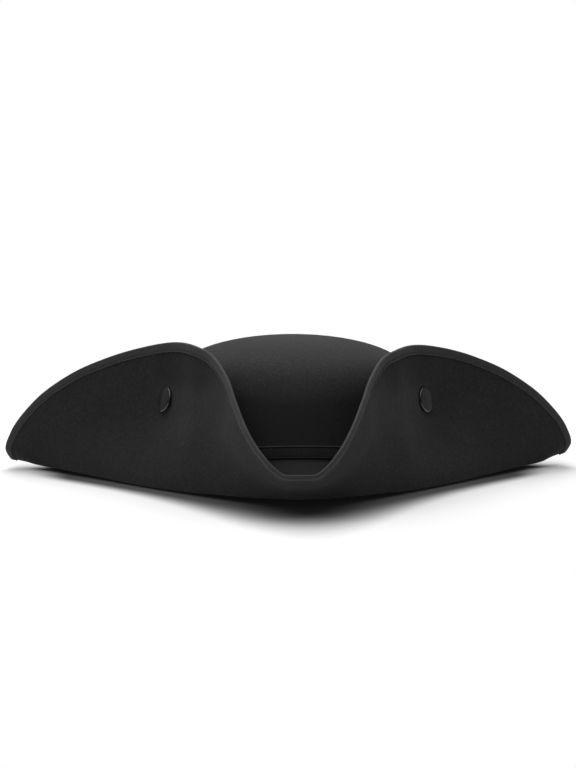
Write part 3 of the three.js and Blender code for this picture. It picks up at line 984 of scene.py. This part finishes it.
@dataclass
class HatBand:
    """The ribbon that stands round the foot of the crown, its ends lapped."""

    block: HatBlock
    divisions: int = 360
    width: float = 8.2 * MM
    thickness: float = 0.85 * MM
    cord: float = 0.26 * MM
    lift: float = 2.2 * MM
    lap_turn: float = 172.0
    lap_length: float = 12 * MM
    lap_rise: float = 0.35 * MM
    waver: float = 0.12 * MM
    waver_rate: float = 25.0
    finish: RibbonFinish = RibbonFinish(
        "band_ribbon", deep=0.02, high=0.05, width=0.0105, selvedge=0.15, seam=0.2,
    )

    def profile(self) -> list[tuple[float, float, float]]:
        """The closed section: height up the ribbon, distance off the felt, share across."""
        w, t = self.width, self.thickness
        edge = [(0.0, 0.1 * MM), (-0.05 * MM, t * 0.5), (0.06 * MM, t), (0.3 * MM, t + self.cord),
                (0.6 * MM, t + self.cord * 0.8), (0.95 * MM, t - 0.04 * MM), (1.5 * MM, t)]
        face = edge + [(w * 0.35, t + 0.06 * MM), (w * 0.5, t + 0.08 * MM), (w * 0.65, t + 0.06 * MM)]
        face += [(w - up, off) for up, off in reversed(edge)]
        lengths = arc_lengths([Vector((a, b, 0)) for a, b in face])
        outer = [(a, b, at / lengths[-1]) for (a, b), at in zip(face, lengths)]
        return outer + [(w * 0.5, 0.08 * MM, 0.5), (face[0][0], face[0][1], 0.0)]

    def build(self) -> bpy.types.Object:
        """Makes the band."""
        block = self.block
        profile = self.profile()
        turns = [360 * i / self.divisions for i in range(self.divisions + 1)]
        lengths = arc_lengths([block.oval(turn, 0, 0) for turn in turns])
        lap_at = lengths[round(self.lap_turn)]
        rows = []
        for turn, at in zip(turns, lengths):
            low = block.break_height(turn) + self.lift
            inside = 1.0 if abs(at - lap_at) < self.lap_length / 2 else 0.0
            waver = self.waver * noise.noise(Vector((at * self.waver_rate, 0.1, 0.4)))
            row = []
            for up, off, _ in profile:
                q = (low + up - block.break_height(turn)) / (block.shoulder(turn) - block.break_height(turn))
                proud = off + (self.lap_rise * inside if off > self.thickness * 0.4 else 0.0)
                row.append(block.crown_wall(turn, q) + block.outward(turn) * (block.felt + proud + waver))
            rows.append(row)
        bm = closed_grid(
            self.divisions, len(profile) - 1, lambda i, j: rows[i % self.divisions][j],
            lambda i, j: (lengths[i], profile[j][2]),
        )
        piece = finished("crown_band", bm, self.finish.material())
        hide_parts("hat_band")
        return piece


class SnapSeat(Enum):
    """A fastener's turn round the hat, its height, and how far its cap tips up and forward."""

    RIGHT = (61.2, 56.5 * MM, 0.35, 0.4)
    LEFT = (299.6, 57.5 * MM, 0.55, 0.0)
    BACK = (180.0, 57.5 * MM, 0.0, 0.0)


@dataclass
class Snap:
    """A domed cap outside the flap, with a post through to the crown."""

    block: HatBlock
    seat: SnapSeat
    radius: float = 8.8 * MM
    rise: float = 2.5 * MM
    rim: float = 2.1 * MM
    post_radius: float = 2 * MM
    head_radius: float = 4 * MM
    head_thickness: float = 1 * MM
    head_slack: float = 1.5 * MM
    base: float = 0.35 * MM
    sink: float = 0.5 * MM
    steps: int = 56
    centre: Vector = field(init=False)
    axis: Vector = field(init=False)
    square: Vector = field(init=False)

    def __post_init__(self) -> None:
        """Finds the place on the flap's under side, and the axis."""
        turn, height, tip_up, tip_forward = self.seat.value
        low, high = -0.5, 1.0
        for _ in range(40):
            middle = (low + high) / 2
            if self.block.brim(turn).flap(middle).z < height:
                low = middle
            else:
                high = middle
        self.centre = self.block.brim(turn).flap(low)
        upward = self.block.brim(turn).flap(low + 0.01) - self.block.brim(turn).flap(low - 0.01)
        around = self.block.brim(turn + 0.5).flap(low) - self.block.brim(turn - 0.5).flap(low)
        self.square = around.cross(upward).normalized()
        level = Vector((
            self.centre.x / self.block.head_half_width**2,
            (self.centre.y - self.block.crown_place) / self.block.head_half_length**2, 0,
        )).normalized()
        self.axis = (self.square * 2 + level + Vector((0, -tip_forward, tip_up))).normalized()

    def depth_to_crown(self) -> float:
        """Distance inward along the axis to the crown's inner face."""
        block = self.block
        depth = 0.0
        while True:
            p = self.centre - self.axis * depth
            turn = math.degrees(math.atan2(p.x / block.head_half_width,
                                           (block.crown_place - p.y) / block.head_half_length))
            low = block.break_height(turn)
            inset = block.crown_taper * (p.z - low) / (block.shoulder(turn) - low)
            x = p.x / (block.head_half_width - inset)
            y = (p.y - block.crown_place) / (block.head_half_length - inset)
            if math.hypot(x, y) < 1:
                return depth
            depth += 0.05 * MM

    def build(self) -> bpy.types.Object:
        """Spins the fastener and sets it on its axis."""
        inner = -self.depth_to_crown() - self.head_slack
        r, base = self.radius, self.base
        profile = [
            (0, inner - self.head_thickness), (self.head_radius * 0.92, inner - self.head_thickness),
            (self.head_radius, inner - self.head_thickness * 0.7), (self.head_radius, inner),
            (self.post_radius, inner), (self.post_radius, base),
        ]
        roll = self.rim / 2
        for k in range(13):
            a = (k / 12 - 0.5) * math.pi
            profile.append((r - roll + roll * math.cos(a), base + roll + roll * math.sin(a)))
        for k in range(1, 10):
            left = 1 - k / 9
            height = base + self.rim + (self.rise - self.rim) * (1 - left**2)
            profile.append(((r - roll * 1.2) * left, height))
        bm = bmesh.new()
        verts = [bm.verts.new((x, 0, z)) for x, z in profile]
        edges = [bm.edges.new(pair) for pair in zip(verts, verts[1:])]
        bmesh.ops.spin(
            bm, geom=verts + edges, cent=(0, 0, 0), axis=(0, 0, 1), angle=2 * math.pi,
            steps=self.steps, use_merge=True, use_duplicate=False,
        )
        bmesh.ops.remove_doubles(bm, verts=bm.verts[:], dist=1e-6)
        bmesh.ops.recalc_face_normals(bm, faces=bm.faces[:])
        frame_of = self.axis.to_track_quat("Z", "Y").to_matrix().to_4x4()
        sunk = self.centre - self.square * self.sink
        bmesh.ops.transform(bm, matrix=Matrix.Translation(sunk) @ frame_of, verts=bm.verts[:])
        node = f"snap_{self.seat.name.lower()}"
        piece = finished(f"{node}_cap", bm, EnamelFinish().material())
        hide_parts(node)
        return piece


@dataclass(frozen=True)
class Softbox:
    """One square softbox, aimed at the hat."""

    name: str
    place: tuple[float, float, float]
    size: float
    power: float


@dataclass(frozen=True)
class Studio:
    """White paper floor, white surroundings, soft lights and the camera."""

    target: tuple[float, float, float] = (-0.0032, 0.035, 0.0652)
    distance: float = 1.7
    elevation: float = 5.8
    azimuth: float = -2.3
    lens: float = 114.375
    sky: float = 0.14
    paper_depth: float = 0.33
    paper_width: float = 0.52
    paper_height: float = -0.25 * MM
    shade_height: float = -0.12 * MM
    surround_radius: float = 8.0
    far_share: float = 0.9
    far_height: float = -0.5 * MM
    light_target: tuple[float, float, float] = (0, 0.03, 0.05)
    softboxes: tuple[Softbox, ...] = (
        Softbox("top_box", (-0.2, -0.1, 1.9), 2.6, 34.0),
        Softbox("back_box", (-0.1, 1.4, 1.4), 1.6, 33.0),
        Softbox("front_box", (-0.7, -1.2, 1.35), 1.0, 3.0),
    )

    def aimed(self, thing: bpy.types.Object, place: Vector, target: Vector) -> None:
        """Puts a light or the camera in place and turns it to its target."""
        thing.location = place
        thing.rotation_mode = "QUATERNION"
        thing.rotation_quaternion = (target - place).to_track_quat("-Z", "Y")
        bpy.context.scene.collection.objects.link(thing)

    def hang(self, box: Softbox) -> None:
        """Hangs one softbox."""
        lamp = bpy.data.lights.new(box.name, "AREA")
        lamp.shape = "SQUARE"
        lamp.size = box.size
        lamp.energy = box.power
        self.aimed(bpy.data.objects.new(box.name, lamp), Vector(box.place), Vector(self.light_target))

    def staged(self, name: str, bm: bmesh.types.BMesh, material: bpy.types.Material) -> bpy.types.Object:
        """Makes a mesh part of the studio."""
        mesh = bpy.data.meshes.new(name)
        bm.to_mesh(mesh)
        bm.free()
        mesh.materials.append(material)
        thing = bpy.data.objects.new(name, mesh)
        bpy.context.scene.collection.objects.link(thing)
        return thing

    def oval(self, height: float) -> bmesh.types.BMesh:
        """A flat oval at a height."""
        bm = bmesh.new()
        bmesh.ops.create_circle(bm, cap_ends=True, radius=self.paper_depth, segments=128)
        bmesh.ops.scale(bm, vec=(self.paper_width / self.paper_depth, 1, 1), verts=bm.verts[:])
        bmesh.ops.translate(bm, vec=(0, 0, height), verts=bm.verts[:])
        return bm

    def unlit(self, thing: bpy.types.Object) -> None:
        """Lets the camera alone see a thing, so that it changes no light."""
        thing.visible_diffuse = thing.visible_glossy = thing.visible_transmission = False
        thing.visible_volume_scatter = thing.visible_shadow = False

    def floor(self) -> None:
        """Lays the oval sheet of paper that the hat stands on, and the painted shadow on it."""
        self.staged("floor", self.oval(self.paper_height), FloorFinish().material())
        self.unlit(self.staged("shade", self.oval(self.shade_height), PaintedShadowFinish().material()))

    def surround(self) -> None:
        """Hangs the white surroundings, which are seen but throw no light."""
        white = Recipe("white_surround").surface({
            "Base Color": grey(0.0), "Emission Color": grey(1.0), "Emission Strength": 1.0,
            "Specular IOR Level": 0.0,
        })
        shell, plain = bmesh.new(), bmesh.new()
        bmesh.ops.create_uvsphere(shell, u_segments=48, v_segments=24, radius=self.surround_radius)
        bmesh.ops.create_circle(plain, cap_ends=True, radius=self.surround_radius * self.far_share, segments=64)
        bmesh.ops.translate(plain, vec=(0, 0, self.far_height), verts=plain.verts[:])
        for name, bm in (("surround", shell), ("far_floor", plain)):
            self.unlit(self.staged(name, bm, white))

    def build(self) -> None:
        """Sets up the whole studio."""
        scene = bpy.context.scene
        self.floor()
        self.surround()
        world = bpy.data.worlds.new("studio_white")
        world.use_nodes = True
        world.node_tree.nodes["Background"].inputs["Color"].default_value = grey(1.0)
        world.node_tree.nodes["Background"].inputs["Strength"].default_value = self.sky
        scene.world = world
        for box in self.softboxes:
            self.hang(box)
        camera = bpy.data.cameras.new("camera")
        camera.lens = self.lens
        camera.sensor_width = 36.0
        a, e = math.radians(self.azimuth), math.radians(self.elevation)
        back = Vector((math.sin(a) * math.cos(e), -math.cos(a) * math.cos(e), math.sin(e)))
        target = Vector(self.target)
        shot = bpy.data.objects.new("camera", camera)
        self.aimed(shot, target + back * self.distance, target)
        scene.camera = shot
        scene.view_settings.view_transform = "Standard"


def main() -> None:
    """Builds the hat piece by piece, then the studio."""
    logging.basicConfig(level=logging.INFO, format="%(message)s")
    block = HatBlock()
    snaps = [Snap(block, seat) for seat in SnapSeat]
    FeltBody(block, snaps).build()
    EdgeBinding(block).build()
    HatBand(block).build()
    for snap in snaps:
        snap.build()
    Studio().build()


if __name__ == "__main__":
    main()
